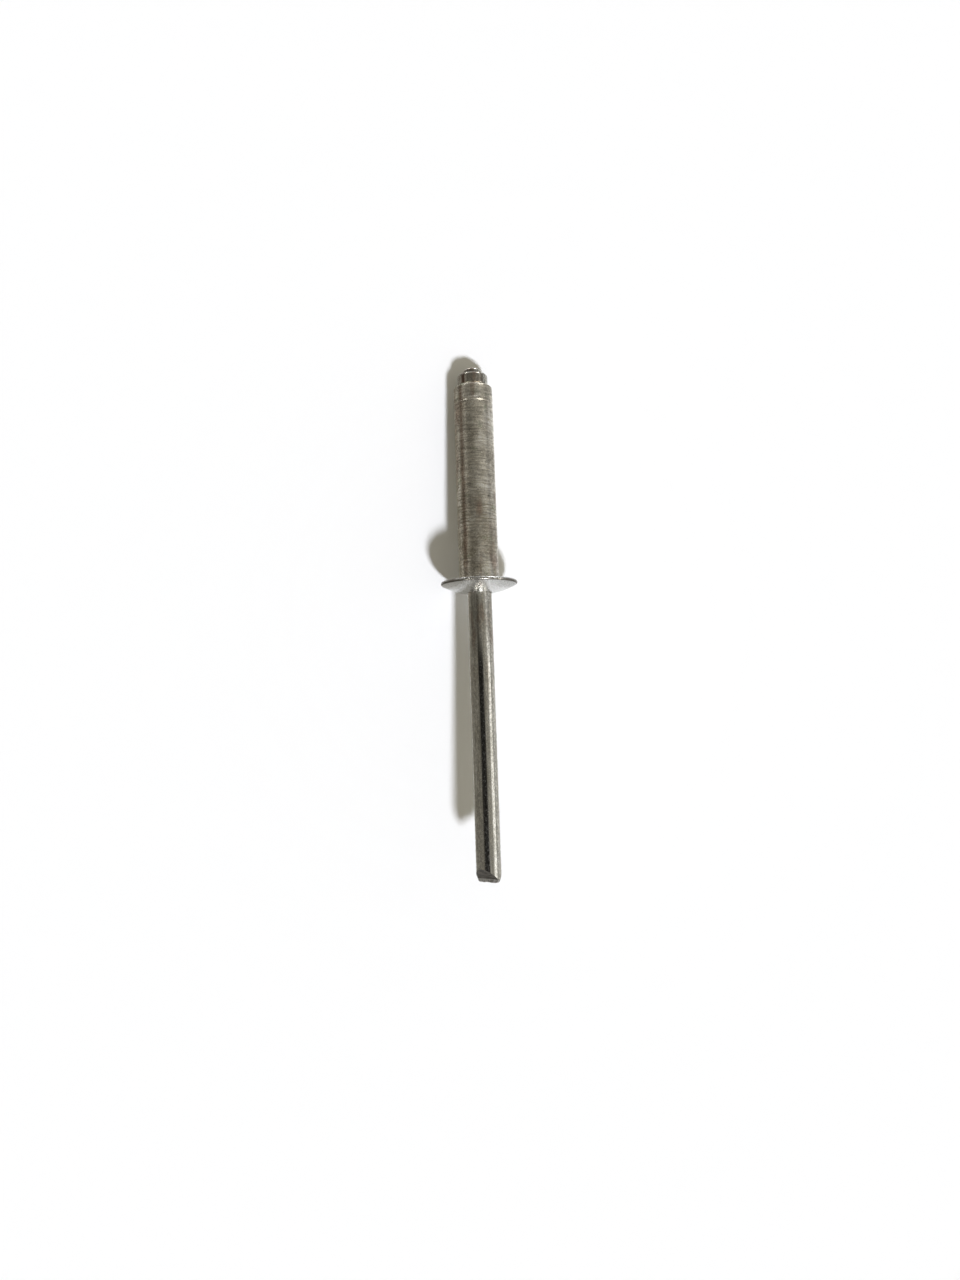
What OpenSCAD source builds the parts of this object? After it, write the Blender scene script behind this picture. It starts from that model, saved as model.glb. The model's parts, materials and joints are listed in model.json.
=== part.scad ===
// Open-end blind rivet, 4 x 20 mm, lying as it comes to rest: on the rim of its
// flange and the edge of its blind end, with the tip of the mandrel in the air.
// Each piece is drawn upright about the Z axis, with the flange's bearing face at
// height 0, the blind end above and the mandrel's tip below, and is then laid down.

/* [Shank] */
// Outer diameter of the shank
shank_d = 4; // [3.85:0.05:4.5]
// Length of the shank, from the bearing face to the blind end
shank_len = 20.2; // [12:0.2:26]
// Rounding of the shank's outer edge at the blind end
end_round = 0.3; // [0.1:0.01:0.35]
// Fillet between the shank and the flange
root_fillet = 0.15; // [0.05:0.01:0.3]
// Distance of the retaining crimp from the blind end
crimp_back = 1.7; // [0.8:0.1:4]
// Width of the retaining crimp
crimp_w = 0.4; // [0.3:0.05:0.6]
// Depth of the retaining crimp
crimp_depth = 0.04; // [0.02:0.01:0.1]

/* [Flange] */
// Diameter of the flange
flange_d = 7.7; // [6.9:0.1:8.4]
// Height of the domed flange, from the bearing face to its crown
flange_h = 1.16; // [1:0.02:1.6]
// Thickness of the flange's rounded rim
rim_t = 0.38; // [0.2:0.02:0.5]
// How far the dome is flattened where the mandrel comes out
crown_cut = 0.15; // [0.05:0.01:0.3]
// Rounding of the hole's edge in the crown
mouth_round = 0.1; // [0.05:0.01:0.14]

/* [Mandrel] */
// Diameter of the mandrel's wire
mandrel_d = 2.45; // [2.2:0.05:2.6]
// Running gap between the mandrel and the bore, on the radius
bore_gap = 0.05; // [0.02:0.01:0.1]
// Length of the mandrel beyond the flange's crown
mandrel_out = 28.2; // [25:0.2:32]
// Distance of the break nick from the mandrel's head
nick_back = 2; // [1:0.1:5]
// Width of each of the two break nicks
nick_w = 0.7; // [0.4:0.05:1]
// Depth of each of the two break nicks
nick_depth = 0.35; // [0.2:0.05:0.5]

/* [Mandrel head] */
// Diameter of the head's collar
head_d = 3.1; // [3:0.05:3.5]
// Height of the collar above the blind end
collar_h = 1.3; // [0.6:0.05:1.6]
// Rounding of the collar's outer edge
collar_round = 0.28; // [0.1:0.01:0.3]
// Diameter of the button on the collar
button_d = 1.75; // [1.4:0.05:2]
// Height of the button above the collar
button_h = 0.65; // [0.6:0.05:1.4]
// Rounding of the button's edge
button_round = 0.25; // [0.1:0.01:0.35]
// Fillet between the button and the collar
button_fillet = 0.2; // [0.05:0.01:0.25]
// Width of the head's seat, a chamfer of the bore's edge at the blind end
seat_w = 0.08; // [0.05:0.01:0.3]
// Gap between the head and its seat
seat_gap = 0.02; // [0.01:0.01:0.05]

/* [Tip] */
// Thickness of the lip at the wire's end
nip_edge = 0.35; // [0.2:0.05:0.6]
// Length of the lip that is torn off between the nippers' jaws
lip_len = 0.4; // [0.4:0.05:0.7]
// Angle of each nipped facet from the mandrel's axis
nip_angle = 46; // [30:1:60]
// Turn of the nipped edge about the mandrel's axis
nip_turn = -43; // [-90:1:90]
// Rounding of the wire's end
tip_round = 0.35; // [0.1:0.05:0.35]

/* [Rest] */
// Turn of the whole rivet about its own axis as it lies
rest_turn = 8; // [-90:1:90]

/* [Hidden] */
$fn = 96;
over = 1;                                        // how far a cutter runs past what it cuts

shank_r = shank_d / 2;
flange_r = flange_d / 2;
mandrel_r = mandrel_d / 2;
bore_r = mandrel_r + bore_gap;
head_r = head_d / 2;
button_r = button_d / 2;
rim_r = rim_t / 2;                               // the rim is a full round of this radius
rim_x = flange_r - rim_r;                        // its centre, out from the axis

// The dome is a ball centred on the axis that touches the full round of the rim.
dome_top = flange_h + crown_cut;
dome_r = (dome_top + rim_x * rim_x / (dome_top - rim_t)) / 2;

// The head's cone lies parallel to the seat, one gap above it.
seat_r = bore_r + seat_w;
cone_low = shank_len + seat_gap - (seat_r - mandrel_r);
cone_high = cone_low + head_r - mandrel_r;
collar_top = shank_len + collar_h;
head_top = collar_top + button_h;
tip_z = -(flange_h + mandrel_out);
nick_z = cone_low - nick_back;

// The floor touches the rim's round and the round of the blind end: lean is the angle
// of that common tangent, and axis_h the axis's height where it meets the bearing face.
lean_a = rim_x - shank_r + end_round;
lean_b = shank_len - end_round + rim_r;
lean = atan2(lean_a, lean_b) - asin((end_round - rim_r) / norm([lean_a, lean_b]));
axis_h = rim_x * cos(lean) - rim_r * sin(lean) + rim_r;
mid_z = (head_top + tip_z) / 2;

// Lays an upright piece down on the floor, centred along Y.
module lay_down() {
  translate([0, -mid_z * cos(lean), axis_h])
    rotate([-90 - lean, 0, 0])
      rotate([0, 0, rest_turn])
        children();
}

// The waste outside a rounded outer corner at the origin; the corner's sides run
// towards -X and -Y.
module corner_waste(r) {
  difference() {
    translate([-r, -r]) square([r + over, r + over]);
    translate([-r, -r]) circle(r);
    translate([-r - over, -r - over]) square([over + r, over]);
    translate([-r - over, -r - over]) square([over, over + r]);
  }
}

// The fill inside a fillet of an inner corner at the origin; its sides run
// towards +X and +Y.
module corner_fill(r) {
  difference() {
    square([r, r]);
    translate([r, r]) circle(r);
  }
}

// Half section of the flange: a rounded rim under a dome with a flat crown.
module flange_section() {
  intersection() {
    translate([0, dome_r - dome_top]) circle(dome_r, $fn = 360);
    translate([0, -flange_h]) square([rim_x, flange_h]);
  }
  translate([rim_x, -rim_r]) circle(rim_r);
}

// Half section of the cold-headed shell, with its bore, seat and crimp.
module shell_section() {
  crimp_r = (crimp_w * crimp_w / 4 + crimp_depth * crimp_depth) / (2 * crimp_depth);
  difference() {
    union() {
      square([shank_r, shank_len]);
      flange_section();
      translate([shank_r, 0]) corner_fill(root_fillet);
    }
    translate([-over, -flange_h - over]) square([over + bore_r, flange_h + shank_len + 2 * over]);
    polygon([[0, shank_len - seat_r], [seat_r + over, shank_len + over], [0, shank_len + over]]);
    translate([shank_r, shank_len]) corner_waste(end_round);
    translate([bore_r, -flange_h]) mirror([1, 1]) corner_waste(mouth_round);
    translate([shank_r + crimp_r - crimp_depth, shank_len - crimp_back]) circle(crimp_r);
  }
}

// Half section of the mandrel: drawn wire, the cone that sits in the shell's seat,
// the collar and the button.
module mandrel_section() {
  difference() {
    union() {
      translate([0, tip_z]) square([mandrel_r, collar_top - tip_z]);
      polygon([[0, cone_low], [mandrel_r, cone_low], [head_r, cone_high],
               [head_r, collar_top], [0, collar_top]]);
      translate([0, collar_top]) square([button_r, button_h]);
      translate([button_r, collar_top]) corner_fill(button_fillet);
    }
    translate([head_r, collar_top]) corner_waste(collar_round);
    translate([button_r, head_top]) corner_waste(button_round);
    translate([mandrel_r, tip_z]) mirror([0, 1]) corner_waste(tip_round);
  }
}

// One of the two nicks that make the wire break under its head.
module break_nick() {
  translate([-mandrel_r - over, 0, nick_z])
    rotate([90, 0, 90])
      linear_extrude(mandrel_d + 2 * over)
        polygon([[mandrel_r - nick_depth, 0], [mandrel_r + over, nick_w / 2 * (1 + over / nick_depth)],
                 [mandrel_r + over, -nick_w / 2 * (1 + over / nick_depth)]]);
}

// What the nippers take off one side of the wire's end: the wedge of their jaw, and
// the waste beside the lip.
module nipped_side() {
  reach = 2 * mandrel_d;
  translate([0, nip_edge / 2, tip_z + lip_len])
    rotate([-nip_angle, 0, 0])
      translate([-reach / 2, 0, 0])
        cube([reach, reach, reach]);
  translate([-reach / 2, nip_edge / 2, tip_z - over])
    cube([reach, reach, over + lip_len]);
}

module rivet_body() {
  color([0.55, 0.54, 0.49])
    lay_down()
      rotate_extrude()
        shell_section();
}

module mandrel() {
  color([0.62, 0.62, 0.60])
    lay_down()
      difference() {
        rotate_extrude() mandrel_section();
        for (turn = [0, 180]) {
          rotate([0, 0, turn]) break_nick();
          rotate([0, 0, nip_turn + turn]) nipped_side();
        }
      }
}

rivet_body();
mandrel();
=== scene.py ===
import json
import math
import random

import bmesh
import bpy
from mathutils import Matrix, Vector, noise


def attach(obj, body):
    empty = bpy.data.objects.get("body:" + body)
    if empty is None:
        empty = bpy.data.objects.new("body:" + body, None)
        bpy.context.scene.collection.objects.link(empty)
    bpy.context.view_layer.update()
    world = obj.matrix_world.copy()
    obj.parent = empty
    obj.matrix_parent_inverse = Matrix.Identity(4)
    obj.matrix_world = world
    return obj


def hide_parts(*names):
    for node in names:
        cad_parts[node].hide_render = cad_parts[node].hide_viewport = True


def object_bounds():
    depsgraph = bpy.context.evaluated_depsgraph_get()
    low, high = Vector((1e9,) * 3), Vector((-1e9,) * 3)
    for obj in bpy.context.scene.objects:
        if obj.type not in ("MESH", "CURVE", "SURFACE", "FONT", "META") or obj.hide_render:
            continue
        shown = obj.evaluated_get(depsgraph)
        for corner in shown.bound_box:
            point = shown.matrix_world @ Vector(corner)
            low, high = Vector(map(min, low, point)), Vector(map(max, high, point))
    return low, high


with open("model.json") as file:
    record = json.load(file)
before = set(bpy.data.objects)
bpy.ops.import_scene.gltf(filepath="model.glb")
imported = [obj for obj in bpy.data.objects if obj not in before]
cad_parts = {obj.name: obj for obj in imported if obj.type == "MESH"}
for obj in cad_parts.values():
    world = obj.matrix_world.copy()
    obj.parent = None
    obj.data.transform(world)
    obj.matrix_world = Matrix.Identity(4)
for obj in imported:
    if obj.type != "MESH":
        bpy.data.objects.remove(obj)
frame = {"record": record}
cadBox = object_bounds()
mounts = {mount["name"]: mount for mount in frame["record"]["mounts"]}
mm = 0.001

camera = {
    "lens": 26.0,
    "sensor": 36.0,
    "distance": 93.583 * mm,
    "elevation": 87.962,
    "roll": -1.923,
    "aim": (0.027 * mm, 1.766 * mm, 3.0 * mm),
    "shiftY": -0.03125,
}


def makeCamera():
    data = bpy.data.cameras.new("camera")
    data.lens = camera["lens"]
    data.sensor_width = camera["sensor"]
    data.shift_y = camera["shiftY"]
    data.clip_start = 1 * mm
    data.clip_end = 20
    rig = bpy.data.objects.new("camera", data)
    bpy.context.scene.collection.objects.link(rig)
    tilt = math.radians(90 - camera["elevation"])
    away = Vector((0, -math.sin(tilt), math.cos(tilt)))
    rig.matrix_world = (Matrix.Translation(Vector(camera["aim"]) + away * camera["distance"])
                        @ Matrix.Rotation(tilt, 4, "X")
                        @ Matrix.Rotation(math.radians(camera["roll"]), 4, "Z"))
    bpy.context.scene.camera = rig


def newMaterial(name):
    material = bpy.data.materials.new(name)
    material.use_nodes = True
    return material, material.node_tree.nodes, material.node_tree.links


def newObject(name, bm, materials):
    mesh = bpy.data.meshes.new(name)
    bm.to_mesh(mesh)
    bm.free()
    for material in materials:
        mesh.materials.append(material)
    made = bpy.data.objects.new(name, mesh)
    bpy.context.scene.collection.objects.link(made)
    return made


floor = {"size": 6.0, "colour": (0.92, 0.92, 0.92)}


def makeFloor():
    bm = bmesh.new()
    bmesh.ops.create_grid(bm, x_segments=1, y_segments=1, size=floor["size"] / 2)
    material, nodes, _ = newMaterial("pale_floor")
    shader = nodes["Principled BSDF"]
    shader.inputs["Base Color"].default_value = (*floor["colour"], 1)
    shader.inputs["Roughness"].default_value = 1
    shader.inputs["Specular IOR Level"].default_value = 0
    newObject("floor", bm, [material])


key = {
    "from": (0.34, -0.77, 1.0),
    "strength": 3.09,
    "angle": 7.0,
    "colour": (1.0, 1.026, 1.107),
}
# Small lamps that only the metal's polished edges show.
glints = {
    "back_right": {"from": (1.5, 2.3, 0.8), "strength": 1.8, "angle": 14},
    "back_left": {"from": (-1.5, 2.3, 0.6), "strength": 0.5, "angle": 9},
    "front_left": {"from": (-0.62, -0.95, 1.0), "strength": 1.6, "angle": 8},
    "front_right": {"from": (1.5, -0.8, 0.7), "strength": 1.6, "angle": 8},
}


def makeSun(name, light):
    lamp = bpy.data.lights.new(name, "SUN")
    lamp.energy = light["strength"]
    lamp.angle = math.radians(light["angle"])
    lamp.color = light.get("colour", (1, 1, 1))
    sun = bpy.data.objects.new(name, lamp)
    sun.rotation_mode = "QUATERNION"
    sun.rotation_quaternion = Vector(light["from"]).to_track_quat("Z", "Y")
    bpy.context.scene.collection.objects.link(sun)
    return sun


fill = {
    "colour": (0.335, 0.315, 0.255),  # soft light from all round
    "sideways": 0.75,                 # how much more of it comes from the right than from above
    "backdrop": (1.0, 1.0, 1.0),      # what the camera and the metal see there
}


def makeWorld():
    world = bpy.data.worlds.new("studio")
    bpy.context.scene.world = world
    world.use_nodes = True
    nodes, links = world.node_tree.nodes, world.node_tree.links
    path = nodes.new("ShaderNodeLightPath")
    seen = path.outputs["Is Camera Ray"]
    for ray in ("Is Glossy Ray", "Is Transmission Ray"):
        either = nodes.new("ShaderNodeMath")
        either.operation = "MAXIMUM"
        links.new(seen, either.inputs[0])
        links.new(path.outputs[ray], either.inputs[1])
        seen = either.outputs[0]
    direction = nodes.new("ShaderNodeTexCoord")
    split = nodes.new("ShaderNodeSeparateXYZ")
    links.new(direction.outputs["Generated"], split.inputs["Vector"])
    share = nodes.new("ShaderNodeMapRange")
    share.inputs["From Min"].default_value = -1
    share.inputs["To Min"].default_value = 1 - fill["sideways"]
    share.inputs["To Max"].default_value = 1 + fill["sideways"]
    links.new(split.outputs["X"], share.inputs["Value"])
    soft = nodes.new("ShaderNodeVectorMath")
    soft.operation = "SCALE"
    soft.inputs["Vector"].default_value = fill["colour"]
    links.new(share.outputs["Result"], soft.inputs["Scale"])
    mix = nodes.new("ShaderNodeMix")
    mix.data_type = "RGBA"
    links.new(soft.outputs["Vector"], mix.inputs["A"])
    mix.inputs["B"].default_value = (*fill["backdrop"], 1)
    links.new(seen, mix.inputs["Factor"])
    links.new(mix.outputs["Result"], nodes["Background"].inputs["Color"])


makeCamera()
makeFloor()
makeSun("key", key)
for name, glint in glints.items():
    makeSun(name, glint).visible_diffuse = False
makeWorld()
print("studio ready")

# The pieces are made in millimetres in the rivet's own frame, and then laid down:
# Z along the axis, 0 at the bearing face, the blind end above, the wire's tip below.
shell = {
    "shankLength": 20.2,
    "endRound": 0.3,        # rounding of the outer edge at the blind end
    "rootFillet": 0.15,
    "crimpBack": 1.7,       # retaining crimp, from the blind end
    "crimpWidth": 0.4,
    "crimpDepth": 0.04,
    "flangeHeight": 1.16,
    "rimThickness": 0.38,
    "crownCut": 0.15,       # how far the dome is flattened round the hole
    "mouthRound": 0.1,
    "boreGap": 0.05,
    "seatWidth": 0.08,      # chamfer that the mandrel's head sits on
    "inset": 0.004,         # keeps the rim inside the solid's facets
    "ringStep": 0.11,       # distance between rings of vertices
    "spinSteps": 136,
    "knocks": 90,
    "knockReach": (0.12, 0.45),
    "knockDepth": 0.024,
    "deepest": 1.5,         # where dents meet, as a share of one dent's depth
    "waveSize": 1.3,
    "waveDepth": 0.005,
}
shankR = mounts["shank"]["dims"]["r_mm"]
wireR = mounts["mandrel_grip"]["dims"]["r_mm"]
boreR = wireR + shell["boreGap"]
flangeR = cadBox[1].x / mm - shell["inset"]
axis = Vector(mounts["shank"]["axis"])
lean = math.asin(-axis.z)
shankMiddle = (shell["rootFillet"] + shell["shankLength"] - shell["endRound"]) / 2
bearingCentre = Vector(mounts["shank"]["pos_m"]) - axis * shankMiddle * mm
layDown = (Matrix.Translation(bearingCentre) @ Matrix.Rotation(-math.pi / 2 - lean, 4, "X")
           @ Matrix.Scale(mm, 4))
sharpAngle = 35                    # faces that meet at more than this stay sharp


# Object coordinates turned into the rivet's own frame, in millimetres.
def rivetCoordinates(nodes, links):
    coordinates = nodes.new("ShaderNodeTexCoord")
    own = nodes.new("ShaderNodeMapping")
    own.vector_type = "TEXTURE"
    own.inputs["Location"].default_value = bearingCentre
    own.inputs["Rotation"].default_value = (-math.pi / 2 - lean, 0, 0)
    own.inputs["Scale"].default_value = (mm, mm, mm)
    links.new(coordinates.outputs["Object"], own.inputs["Vector"])
    return own.outputs["Vector"]


# Noise with its own scale along each axis, per millimetre.
def grain(nodes, links, vector, scale, detail, roughness=0.5):
    mapping = nodes.new("ShaderNodeMapping")
    mapping.inputs["Scale"].default_value = scale
    texture = nodes.new("ShaderNodeTexNoise")
    texture.inputs["Scale"].default_value = 1
    texture.inputs["Detail"].default_value = detail
    texture.inputs["Roughness"].default_value = roughness
    links.new(vector, mapping.inputs["Vector"])
    links.new(mapping.outputs["Vector"], texture.inputs["Vector"])
    return texture.outputs["Fac"]


def ramp(nodes, links, factor, stops):
    node = nodes.new("ShaderNodeValToRGB")
    elements = node.color_ramp.elements
    while len(elements) < len(stops):
        elements.new(0.5)
    for element, (position, colour) in zip(elements, stops):
        element.position = position
        element.color = (*colour, 1) if isinstance(colour, tuple) else (colour, colour, colour, 1)
    links.new(factor, node.inputs["Fac"])
    return node.outputs["Color"]


def blend(nodes, links, kind, factor, first, second):
    node = nodes.new("ShaderNodeMix")
    node.data_type = "RGBA"
    node.blend_type = kind
    for name, value in (("Factor", factor), ("A", first), ("B", second)):
        if isinstance(value, bpy.types.NodeSocket):
            links.new(value, node.inputs[name])
        elif name == "Factor":
            node.inputs[name].default_value = value
        else:
            node.inputs[name].default_value = (*value, 1)
    return node.outputs["Result"]


def bump(nodes, links, height, depth, below=None, strength=None):
    node = nodes.new("ShaderNodeBump")
    node.inputs["Distance"].default_value = depth * mm
    if strength:
        links.new(strength, node.inputs["Strength"])
    links.new(height, node.inputs["Height"])
    if below:
        links.new(below, node.inputs["Normal"])
    return node.outputs["Normal"]


# How far a value lies between two limits, as a smooth step from 0 to 1.
def between(nodes, links, value, low, high):
    node = nodes.new("ShaderNodeMapRange")
    node.interpolation_type = "SMOOTHSTEP"
    node.inputs["From Min"].default_value = low
    node.inputs["From Max"].default_value = high
    links.new(value, node.inputs["Value"])
    return node.outputs["Result"]


def times(nodes, links, first, second):
    node = nodes.new("ShaderNodeMath")
    node.operation = "MULTIPLY"
    links.new(first, node.inputs[0])
    links.new(second, node.inputs[1])
    return node.outputs[0]


# 1 between two limits, falling to 0 over a margin inside each of them.
def band(nodes, links, value, limits, margin):
    low, high = limits
    return times(nodes, links, between(nodes, links, value, low, low + margin),
                 between(nodes, links, value, high, high - margin))


# Fine dark lines round the axis, uneven and broken.
def turnedLines(nodes, links, own, step):
    wave = nodes.new("ShaderNodeTexWave")
    wave.bands_direction = "Z"
    wave.inputs["Scale"].default_value = math.tau / 20 / step
    wave.inputs["Distortion"].default_value = 2.2
    wave.inputs["Detail"].default_value = 3
    wave.inputs["Detail Scale"].default_value = 0.6
    links.new(own, wave.inputs["Vector"])
    broken = grain(nodes, links, own, (0.9, 0.9, 1.6), 2)
    return times(nodes, links, between(nodes, links, wave.outputs["Fac"], 0.35, 0.02),
                 between(nodes, links, broken, 0.38, 0.62))


# Distance from the axis and height along it.
def polar(nodes, links, own):
    flat = nodes.new("ShaderNodeVectorMath")
    flat.operation = "MULTIPLY"
    flat.inputs[1].default_value = (1, 1, 0)
    length = nodes.new("ShaderNodeVectorMath")
    length.operation = "LENGTH"
    split = nodes.new("ShaderNodeSeparateXYZ")
    links.new(own, flat.inputs[0])
    links.new(flat.outputs["Vector"], length.inputs[0])
    links.new(own, split.inputs["Vector"])
    return length.outputs["Value"], split.outputs["Z"]


# Two small tents along the rivet, seen only by the metal's reflections, stand for the
# room round it. Their tones go by the angle from straight up towards the right.
tentRadius = 5.5
tentReach = 140                   # how far a tent comes down on either side
tentTint = (1.0, 0.94, 0.80)      # tint of the darker tones, up to the angle where it ends
tentTintEnd = 58
tentTintLeft = 0.2                # share of the tint that is left beyond it
tents = {
    "shank_tent": {
        "from": 0.5, "to": 26.0,
        "near": [(-140, 0.30), (-108, 0.38), (-92, 0.52), (-80, 0.32), (-72, (0.13, 0.09, 0.065)),
                 (-58, (0.11, 0.075, 0.055)), (-52, 0.46), (-42, 0.40), (-34, 0.19), (-12, 0.22),
                 (0, 0.26), (10, 0.36), (40, 0.43), (52, 0.56), (62, 0.54), (68, 0.30), (75, 0.38),
                 (84, 0.72), (140, 0.65)],
    },
    "wire_tent": {
        "from": -0.4, "to": -33.0,
        "near": [(-140, 0.55), (-100, 0.36), (-85, 0.18), (-35, 0.14), (-22, 0.12), (-10, 0.20),
                 (2, 0.30), (15, 0.38), (42, 0.46), (48, 0.85), (58, 0.85), (66, 0.50), (76, 0.46),
                 (84, 0.55), (140, 0.75)],
        "far": [(-140, 0.55), (-112, 0.28), (-34, 0.23), (-27, 0.008), (9, 0.008), (15, 0.36),
                (46, 0.38), (56, 1.6), (72, 1.6), (77, 0.45), (84, 0.45), (92, 0.80), (140, 0.75)],
        "change": (-3.5, -8.5),    # heights between which near gives way to far
    },
}


def tentTone(nodes, links, turn, tones):
    stops = []
    for angle, tone in tones:
        if not isinstance(tone, tuple):
            warmth = max(0, 1 - tone) * (1 if angle < tentTintEnd else tentTintLeft)
            tone = tuple(tone * (1 + (part - 1) * warmth) for part in tentTint)
        stops.append(((angle + 180) / 360, tone))
    return ramp(nodes, links, turn, stops)


def newGlow(name):
    material, nodes, links = newMaterial(name)
    nodes.remove(nodes["Principled BSDF"])
    glow = nodes.new("ShaderNodeEmission")
    links.new(glow.outputs["Emission"], nodes["Material Output"].inputs["Surface"])
    return material, nodes, links, glow


# Lays a cloth of the studio down with the rivet and hides it from all but reflections.
def hang(name, bm, material):
    bm.transform(layDown)
    cloth = newObject(name, bm, [material])
    cloth.visible_camera = False
    cloth.visible_diffuse = False
    cloth.visible_transmission = False
    cloth.visible_shadow = False


def makeTent(name, tent):
    bm = bmesh.new()
    bm.edges.new([bm.verts.new((0, -tentRadius, tent[end])) for end in ("from", "to")])
    reach = math.radians(tentReach)
    bmesh.ops.rotate(bm, verts=bm.verts, matrix=Matrix.Rotation(-reach, 3, "Z"))
    bmesh.ops.spin(bm, geom=bm.verts[:] + bm.edges[:], axis=(0, 0, 1), cent=(0, 0, 0),
                   angle=2 * reach, steps=90)
    material, nodes, links, glow = newGlow(name)
    own = rivetCoordinates(nodes, links)
    split = nodes.new("ShaderNodeSeparateXYZ")
    links.new(own, split.inputs["Vector"])
    upward = nodes.new("ShaderNodeMath")
    upward.operation = "MULTIPLY"
    upward.inputs[1].default_value = -1
    links.new(split.outputs["Y"], upward.inputs[0])
    angle = nodes.new("ShaderNodeMath")
    angle.operation = "ARCTAN2"
    links.new(split.outputs["X"], angle.inputs[0])
    links.new(upward.outputs[0], angle.inputs[1])
    turn = nodes.new("ShaderNodeMapRange")
    turn.inputs["From Min"].default_value = -math.pi
    turn.inputs["From Max"].default_value = math.pi
    links.new(angle.outputs[0], turn.inputs["Value"])
    tone = tentTone(nodes, links, turn.outputs["Result"], tent["near"])
    if "far" in tent:
        share = between(nodes, links, split.outputs["Z"], *tent["change"])
        far = tentTone(nodes, links, turn.outputs["Result"], tent["far"])
        tone = blend(nodes, links, "MIX", share, tone, far)
    links.new(tone, glow.inputs["Color"])
    hang(name, bm, material)


# A low strip beside the shank, as the dark edge of the room that its left side shows.
flag = {"side": -3.0, "down": 4.0, "from": 0.6, "to": 24.0, "tone": (0.34, 0.32, 0.275)}


def makeFlag():
    bm = bmesh.new()
    corners = [(0, flag["from"]), (flag["down"], flag["from"]), (flag["down"], flag["to"]),
               (0, flag["to"])]
    bm.faces.new([bm.verts.new((flag["side"], down, along)) for down, along in corners])
    material, _, _, glow = newGlow("low_flag")
    glow.inputs["Color"].default_value = (*flag["tone"], 1)
    hang("low_flag", bm, material)


for name, tent in tents.items():
    makeTent(name, tent)
makeFlag()
print("tents ready")


def arc(centreR, centreZ, radius, startDeg, endDeg, steps):
    points = []
    for step in range(steps + 1):
        angle = math.radians(startDeg + (endDeg - startDeg) * step / steps)
        points.append((centreR + radius * math.cos(angle), centreZ + radius * math.sin(angle)))
    return points


# Spins a half section about the axis, with long runs of it halved until they are short.
def spinProfile(points, closed, ringStep, spinSteps):
    bm = bmesh.new()
    verts = [bm.verts.new((r, 0, z)) for r, z in points]
    ends = verts[1:] + verts[:1] if closed else verts[1:]
    for start, end in zip(verts, ends):
        bm.edges.new((start, end))
    coarse = bm.edges[:]
    while coarse:
        bmesh.ops.subdivide_edges(bm, edges=coarse, cuts=1)
        coarse = [edge for edge in bm.edges if edge.calc_length() > ringStep]
    bmesh.ops.spin(bm, geom=bm.verts[:] + bm.edges[:], axis=(0, 0, 1), cent=(0, 0, 0),
                   angle=math.tau, steps=spinSteps, use_merge=True)
    bmesh.ops.remove_doubles(bm, verts=bm.verts, dist=0.0001)
    bmesh.ops.recalc_face_normals(bm, faces=bm.faces)
    return bm


def addPiece(name, bm, materials, node):
    bm.transform(layDown)
    for face in bm.faces:
        face.smooth = True
    for edge in bm.edges:
        if edge.is_manifold and edge.calc_face_angle() > math.radians(sharpAngle):
            edge.smooth = False
    piece = newObject(name, bm, materials)
    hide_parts(node)
    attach(piece, "root")
    print(name, "ready")


def shellProfile():
    rimR = shell["rimThickness"] / 2
    rimX = flangeR - rimR
    height = shell["flangeHeight"]
    domeTop = height + shell["crownCut"]
    domeR = (domeTop + rimX ** 2 / (domeTop - shell["rimThickness"])) / 2
    domeZ = domeR - domeTop                      # centre of the dome's ball
    crownR = math.sqrt(domeR ** 2 - (domeZ + height) ** 2)
    startDeg = math.degrees(math.atan2(-height - domeZ, crownR))
    tangentDeg = math.degrees(math.atan2(-rimR - domeZ, rimX))
    width, depth = shell["crimpWidth"], shell["crimpDepth"]
    crimpR = (width ** 2 / 4 + depth ** 2) / (2 * depth)
    crimpX = shankR + crimpR - depth
    length = shell["shankLength"]
    crimpZ = length - shell["crimpBack"]
    crimpDeg = math.degrees(math.asin(width / 2 / crimpR))
    mouth, fillet, end = shell["mouthRound"], shell["rootFillet"], shell["endRound"]
    return (arc(boreR + mouth, mouth - height, mouth, 180, 270, 6)
            + arc(0, domeZ, domeR, startDeg, tangentDeg, 40)
            + arc(rimX, -rimR, rimR, tangentDeg, 90, 14)[1:]
            + arc(shankR + fillet, fillet, fillet, 270, 180, 6)
            + arc(crimpX, crimpZ, crimpR, 180 + crimpDeg, 180 - crimpDeg, 8)
            + arc(shankR - end, length - end, end, 0, 90, 8)
            + [(boreR + shell["seatWidth"], length), (boreR, length - shell["seatWidth"])])


# Shallow dents and a slight waviness, pressed into the outside only.
def knockShell(bm):
    dice = random.Random(11)
    knocks = []
    belowCrimp = shell["shankLength"] - 1.4 * shell["crimpBack"]     # clear of the crimp
    for _ in range(shell["knocks"]):
        height = dice.uniform(shell["endRound"], belowCrimp)
        turn = dice.uniform(0, math.tau)
        place = Vector((shankR * math.cos(turn), shankR * math.sin(turn), height))
        depth = shell["knockDepth"] * dice.uniform(0.3, 1)
        knocks.append((place, dice.uniform(*shell["knockReach"]), depth))
    for vert in bm.verts:
        outward = Vector((vert.co.x, vert.co.y, 0))
        if outward.length < (shankR + boreR) / 2:
            continue
        depth = shell["waveDepth"] * (1 + noise.noise(vert.co / shell["waveSize"]))
        for place, reach, deep in knocks:
            near = 1 - (vert.co - place).length / reach
            if near > 0:
                depth += deep * near * near * (3 - 2 * near)
        vert.co -= outward.normalized() * min(depth, shell["deepest"] * shell["knockDepth"])


def makeShell(material):
    bm = spinProfile(shellProfile(), True, shell["ringStep"], shell["spinSteps"])
    knockShell(bm)
    addPiece("dressed_shell", bm, [material], "rivet_body")


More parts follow.
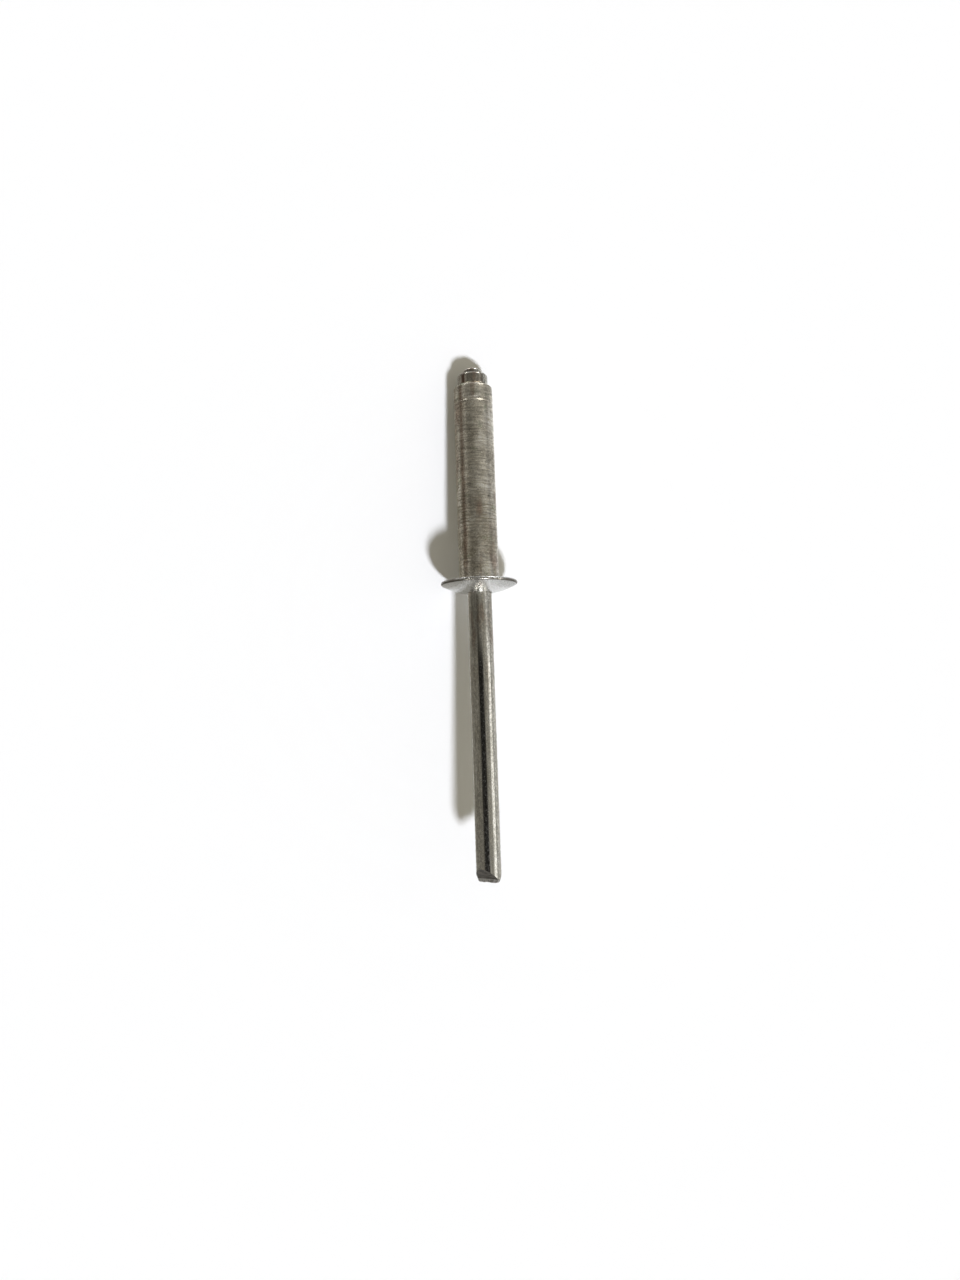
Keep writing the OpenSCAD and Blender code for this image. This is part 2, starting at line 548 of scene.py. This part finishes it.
shellFinish = {
    "dark": (0.29, 0.262, 0.21),
    "plain": (0.45, 0.42, 0.355),
    "pale": (0.62, 0.595, 0.53),
    "brown": (0.30, 0.235, 0.185),
    "olive": (0.34, 0.35, 0.26),
    "stroke": (0.25, 0.22, 0.165),     # dark lines and spots round the shank near the flange
    "lines": (4.0, 9.5),               # heights between which the lines lie
    "spots": (1.6, 5.2),
    "lineStep": 0.34,                  # distance between the lines
    "flange": (0.60, 0.60, 0.59),
    # painted dark reflection: the colour of the dark line round the flange's rim
    "rim": (0.15, 0.14, 0.12),
    "ringGrain": (0.9, 0.9, 7),        # noise per millimetre, across the axis and along it
    "speckGrain": (5.5, 5.5, 5.5),
    "patchGrain": (0.5, 0.5, 0.35),
    "stainGrain": (0.9, 0.9, 0.22),
    "blotGrain": (0.55, 0.55, 0.8),
    "waveGrain": (0.8, 0.8, 1.1),
    "contrast": 0.6,                   # of the rings and specks
    "smooth": 0.20,
    "rough": 0.38,
    "lineDepth": 0.007,
    "pitDepth": 0.011,
    "waveDepth": 0.02,
}


def makeShellMetal():
    material, nodes, links = newMaterial("turned_aluminium")
    shader = nodes["Principled BSDF"]
    shader.inputs["Metallic"].default_value = 1
    own = rivetCoordinates(nodes, links)
    radius, height = polar(nodes, links, own)
    f = shellFinish
    rings = grain(nodes, links, own, f["ringGrain"], 3, 0.6)
    turned = turnedLines(nodes, links, own, f["lineStep"])
    specks = grain(nodes, links, own, f["speckGrain"], 3, 0.7)
    patches = grain(nodes, links, own, f["patchGrain"], 3, 0.65)
    stains = grain(nodes, links, own, f["stainGrain"], 3, 0.6)
    blots = grain(nodes, links, own, f["blotGrain"], 3, 0.6)
    waves = grain(nodes, links, own, f["waveGrain"], 1)
    tone = ramp(nodes, links, patches, [(0.3, f["dark"]), (0.5, f["plain"]), (0.72, f["pale"])])
    tone = blend(nodes, links, "MIX", between(nodes, links, stains, 0.52, 0.72), tone, f["brown"])
    tone = blend(nodes, links, "MIX", between(nodes, links, blots, 0.56, 0.74), tone, f["olive"])
    ringTone = ramp(nodes, links, rings, [(0.3, 0.15), (0.7, 0.85)])
    speckTone = ramp(nodes, links, specks, [(0.33, 0.1), (0.67, 0.9)])
    for pattern in (ringTone, speckTone):
        tone = blend(nodes, links, "OVERLAY", f["contrast"], tone, pattern)
    lined = times(nodes, links, band(nodes, links, height, f["lines"], 1.5), turned)
    tone = blend(nodes, links, "MIX", lined, tone, f["stroke"])
    spotted = times(nodes, links, band(nodes, links, height, f["spots"], 1.0),
                    between(nodes, links, blots, 0.42, 0.62))
    spotted = times(nodes, links, spotted, between(nodes, links, specks, 0.55, 0.42))
    tone = blend(nodes, links, "MIX", spotted, tone, f["stroke"])
    onFlange = times(nodes, links, between(nodes, links, radius, shankR + 0.1, shankR + 0.3),
                     between(nodes, links, height, 0.12, -0.02))
    onCrown = between(nodes, links, height, -0.3, -0.5)
    tone = blend(nodes, links, "MIX", onFlange, tone, f["flange"])
    tone = blend(nodes, links, "MIX", onCrown, tone, f["flange"])
    # A dark line painted round the flange's rim: a painted dark reflection.
    paintedDarkRimLine = times(nodes, links, between(nodes, links, radius, flangeR - 0.14, flangeR - 0.08),
                  between(nodes, links, height, -0.12, -0.16))
    tone = blend(nodes, links, "MIX", paintedDarkRimLine, tone, f["rim"])
    links.new(tone, shader.inputs["Base Color"])
    polish = ramp(nodes, links, specks, [(0.35, f["rough"]), (0.65, f["smooth"])])
    links.new(polish, shader.inputs["Roughness"])
    rough = between(nodes, links, height, -0.02, 0.12)     # the flange is polished
    surface = bump(nodes, links, waves, f["waveDepth"], None, rough)
    surface = bump(nodes, links, rings, f["lineDepth"], surface, rough)
    links.new(bump(nodes, links, specks, f["pitDepth"], surface, rough), shader.inputs["Normal"])
    return material


makeShell(makeShellMetal())

mandrel = {
    "lengthOut": 28.2,      # beyond the flange's crown
    "headDiameter": 3.1,
    "collarHeight": 1.3,
    "collarRound": 0.28,
    "buttonDiameter": 1.75,
    "buttonHeight": 0.65,
    "buttonRound": 0.25,
    "buttonFillet": 0.2,
    "coneEdge": 0.09,       # worn edge between the head's cone and its collar
    "seatGap": 0.02,
    "nickBack": 2.0,        # break nicks, from the head's cone
    "nickWidth": 0.7,
    "nickDepth": 0.35,
    "nipAngle": 46.0,
    "nipTurn": -35.0,
    "lipThickness": 0.35,   # torn lip between the two nipped sides
    "lipLength": 0.4,
    "lipCut": 0.09,         # spacing of the cuts that let the lip's end be uneven
    "lipTear": 0.14,        # how far the lip's end is torn back
    "tearGrain": 2.6,       # noise per millimetre along the torn end
    "tipRound": 0.35,
    "knocks": 26,           # on the head
    "knockReach": (0.15, 0.42),
    "knockDepth": 0.035,
    "deepest": 1.4,
    "ringStep": 0.12,
    "spinSteps": 128,
}
headR = mandrel["headDiameter"] / 2
buttonR = mandrel["buttonDiameter"] / 2
tipZ = -(shell["flangeHeight"] + mandrel["lengthOut"])
collarTop = shell["shankLength"] + mandrel["collarHeight"]
headTop = collarTop + mandrel["buttonHeight"]
coneAngle = 45                     # of the head's cone, and of its seat
cutSnap = 0.00001                  # how near a cut a vertex is to be on it
coneLow = shell["shankLength"] + mandrel["seatGap"] - (boreR + shell["seatWidth"] - wireR)


def mandrelProfile():
    coneHigh = coneLow + headR - wireR
    collar, button = mandrel["collarRound"], mandrel["buttonRound"]
    fillet = mandrel["buttonFillet"]
    worn = mandrel["coneEdge"]
    wornZ = coneHigh + worn * math.tan(math.radians(coneAngle / 2))
    return ([(0, tipZ), (wireR, tipZ), (wireR, coneLow)]
            + arc(headR - worn, wornZ, worn, -coneAngle, 0, 4)
            + arc(headR - collar, collarTop - collar, collar, 0, 90, 8)
            + arc(buttonR + fillet, collarTop + fillet, fillet, 270, 180, 6)
            + arc(buttonR - button, headTop - button, button, 0, 90, 8)
            + [(0, headTop)])


# The two V nicks where the wire breaks when the rivet is set.
def cutNicks(bm):
    middle = coneLow - mandrel["nickBack"]
    half = mandrel["nickWidth"] / 2
    for height in (middle - half, middle, middle + half):
        near = [face for face in bm.faces if abs(face.calc_center_median().z - height) < 2 * half]
        geom = {item for face in near for item in (*face.verts, *face.edges, face)}
        bmesh.ops.bisect_plane(bm, geom=list(geom), dist=cutSnap, plane_co=(0, 0, height),
                               plane_no=(0, 0, 1))
    slope = mandrel["nickDepth"] / half
    for vert in bm.verts:
        above = abs(vert.co.z - middle)
        if above < half:
            limit = wireR - mandrel["nickDepth"] + above * slope
            vert.co.y = max(-limit, min(limit, vert.co.y))


def cutAcross(bm, geom, direction, low, high, step):
    place = low + step
    while place < high:
        geom = bmesh.ops.bisect_plane(bm, geom=geom, dist=cutSnap, plane_co=direction * place,
                                      plane_no=direction)["geom"]
        place += step
    return geom


# The wire's end: a facet cut from each side, and the torn lip left between them.
def nipTip(bm):
    across = Matrix.Rotation(math.radians(mandrel["nipTurn"]), 3, "Z") @ Vector((0, 1, 0))
    along = across.cross(Vector((0, 0, 1)))
    angle = math.radians(mandrel["nipAngle"])
    half = mandrel["lipThickness"] / 2
    root = tipZ + mandrel["lipLength"]
    for side in (1, -1):
        normal = across * side * math.cos(angle) - Vector((0, 0, math.sin(angle)))
        point = across * side * half + Vector((0, 0, root))
        cut = bmesh.ops.bisect_plane(bm, geom=bm.verts[:] + bm.edges[:] + bm.faces[:], dist=cutSnap,
                                     plane_co=point, plane_no=normal, clear_outer=True)
        rim = [item for item in cut["geom_cut"] if isinstance(item, bmesh.types.BMEdge)]
        for face in bmesh.ops.edgeloop_fill(bm, edges=rim)["faces"]:
            face.material_index = 1
    ends = [face for face in bm.faces if face.material_index == 1]
    geom = list({item for face in ends for item in (*face.verts, *face.edges, face)})
    for side in (1, -1):
        geom = bmesh.ops.bisect_plane(bm, geom=geom, dist=cutSnap, plane_co=across * side * half,
                                      plane_no=across)["geom"]
    lip = [face for face in bm.faces if face.material_index == 1
           and abs(face.calc_center_median().dot(across)) < half]
    geom = list({item for face in lip for item in (*face.verts, *face.edges, face)})
    geom = cutAcross(bm, geom, along, -wireR, wireR, mandrel["lipCut"])
    lip = [item for item in geom if isinstance(item, bmesh.types.BMFace)]
    grown = bmesh.ops.extrude_face_region(bm, geom=lip)["geom"]
    bmesh.ops.delete(bm, geom=[face for face in lip if face.is_valid], context="FACES")
    for vert in [item for item in grown if isinstance(item, bmesh.types.BMVert)]:
        past = max(0, Vector((vert.co.x, vert.co.y, 0)).length - wireR + mandrel["tipRound"])
        rounding = mandrel["tipRound"] - math.sqrt(max(0, mandrel["tipRound"] ** 2 - past ** 2))
        tear = mandrel["lipTear"] * (0.5 + 0.5 * noise.noise(vert.co * mandrel["tearGrain"]))
        vert.co.z = min(tipZ + rounding + tear, root - 0.02)
    for face in bm.faces:
        lowest = min(vert.co.z for vert in face.verts)
        if face.calc_center_median().z < root and lowest < root - 0.01:
            face.material_index = 2
    bmesh.ops.recalc_face_normals(bm, faces=bm.faces)


# Small dents in the head's edges.
def knockHead(bm):
    dice = random.Random(5)
    knocks = []
    edges = ((headR, shell["shankLength"] + 0.25), (headR - 0.08, collarTop - 0.08),
             (buttonR - 0.07, headTop - 0.07))        # cone, collar and button
    for _ in range(mandrel["knocks"]):
        turn = dice.uniform(0, math.tau)
        radius, height = dice.choice(edges)
        place = Vector((radius * math.cos(turn), radius * math.sin(turn), height))
        knocks.append((place, dice.uniform(*mandrel["knockReach"]), dice.uniform(0.4, 1)))
    for vert in bm.verts:
        if vert.co.z < shell["shankLength"] + 0.1:
            continue
        depth = 0
        for place, reach, share in knocks:
            near = 1 - (vert.co - place).length / reach
            if near > 0:
                depth += mandrel["knockDepth"] * share * near * near * (3 - 2 * near)
        inward = Vector((-vert.co.x, -vert.co.y, shell["shankLength"] + 0.5 - vert.co.z))
        vert.co += inward.normalized() * min(depth, mandrel["deepest"] * mandrel["knockDepth"])


def makeMandrel(wireMaterial, nippedMaterial, tornMaterial):
    bm = spinProfile(mandrelProfile(), False, mandrel["ringStep"], mandrel["spinSteps"])
    cutNicks(bm)
    nipTip(bm)
    knockHead(bm)
    addPiece("dressed_mandrel", bm, [wireMaterial, nippedMaterial, tornMaterial],
             "mandrel")


wireFinish = {
    "dark": (0.36, 0.345, 0.29),
    "pale": (0.57, 0.555, 0.505),
    "stain": (0.33, 0.27, 0.22),
    "stained": (-15, -1),       # heights between which the brown stain comes in
    "head": 0.75,               # how much darker the head is than the wire, and its shoulder, with painted dark reflection
    "shoulder": 0.3,
    "shoulderRough": 0.5,
    "lineGrain": (6, 6, 0.35),
    "speckGrain": (5, 5, 3.5),
    "stainGrain": (1.3, 1.3, 0.35),
    "contrast": 0.45,           # of the specks
    "smooth": 0.13,
    "rough": 0.28,
    "lineDepth": 0.003,
    "pitDepth": 0.0035,
}


def makeWireMetal():
    material, nodes, links = newMaterial("drawn_wire")
    shader = nodes["Principled BSDF"]
    shader.inputs["Metallic"].default_value = 1
    own = rivetCoordinates(nodes, links)
    radius, height = polar(nodes, links, own)
    f = wireFinish
    lines = grain(nodes, links, own, f["lineGrain"], 3, 0.6)
    specks = grain(nodes, links, own, f["speckGrain"], 3, 0.7)
    stains = grain(nodes, links, own, f["stainGrain"], 3, 0.6)
    tone = ramp(nodes, links, lines, [(0.32, f["dark"]), (0.68, f["pale"])])
    stained = times(nodes, links, between(nodes, links, height, *f["stained"]),
                    between(nodes, links, stains, 0.42, 0.68))
    tone = blend(nodes, links, "MIX", stained, tone, f["stain"])
    speckTone = ramp(nodes, links, specks, [(0.35, 0.1), (0.65, 0.9)])
    tone = blend(nodes, links, "OVERLAY", f["contrast"], tone, speckTone)
    onHead = between(nodes, links, height, shell["shankLength"], shell["shankLength"] + 0.05)
    tone = blend(nodes, links, "MULTIPLY", onHead, tone, (f["head"],) * 3)
    # Painted dark reflection on the head's shoulder round the button's foot, which is also made
    # rougher.
    nearCollar = band(nodes, links, height, (collarTop - 0.3, collarTop + 0.35), 0.12)
    inside = between(nodes, links, radius, headR - 0.02, headR - 0.1)
    paintedDarkShoulder = times(nodes, links, nearCollar, inside)
    tone = blend(nodes, links, "MULTIPLY", paintedDarkShoulder, tone, (f["shoulder"],) * 3)
    links.new(tone, shader.inputs["Base Color"])
    polish = ramp(nodes, links, specks, [(0.35, f["rough"]), (0.6, f["smooth"])])
    polish = blend(nodes, links, "MIX", paintedDarkShoulder, polish, (f["shoulderRough"],) * 3)
    links.new(polish, shader.inputs["Roughness"])
    surface = bump(nodes, links, lines, f["lineDepth"])
    links.new(bump(nodes, links, specks, f["pitDepth"], surface), shader.inputs["Normal"])
    return material


# The nipped facets are coloured almost black, darker than bare metal. This is painted shade over
# their torn grain.
nippedShadeAndGrain = {
    "dark": (0.02, 0.018, 0.014),
    "pale": (0.10, 0.09, 0.075),
    "darkTo": 0.35,
    "paleFrom": 0.7,
    "tears": (1.5, 1.5, 6),
    "roughness": 0.5,
    "depth": 0.06,
}
tornFinish = {
    "dark": (0.16, 0.15, 0.13),
    "pale": (0.55, 0.54, 0.51),
    "darkTo": 0.35,
    "paleFrom": 0.65,
    "tears": (4, 4, 2),
    "roughness": 0.45,
    "depth": 0.06,
}


def makeEndMetal(name, f):
    material, nodes, links = newMaterial(name)
    shader = nodes["Principled BSDF"]
    shader.inputs["Metallic"].default_value = 1
    shader.inputs["Roughness"].default_value = f["roughness"]
    tears = grain(nodes, links, rivetCoordinates(nodes, links), f["tears"], 4, 0.7)
    links.new(ramp(nodes, links, tears, [(f["darkTo"], f["dark"]), (f["paleFrom"], f["pale"])]),
              shader.inputs["Base Color"])
    links.new(bump(nodes, links, tears, f["depth"]), shader.inputs["Normal"])
    return material


makeMandrel(makeWireMetal(), makeEndMetal("nipped_end_painted_shade", nippedShadeAndGrain),
            makeEndMetal("torn_lip", tornFinish))

bpy.context.scene.view_settings.view_transform = "Standard"
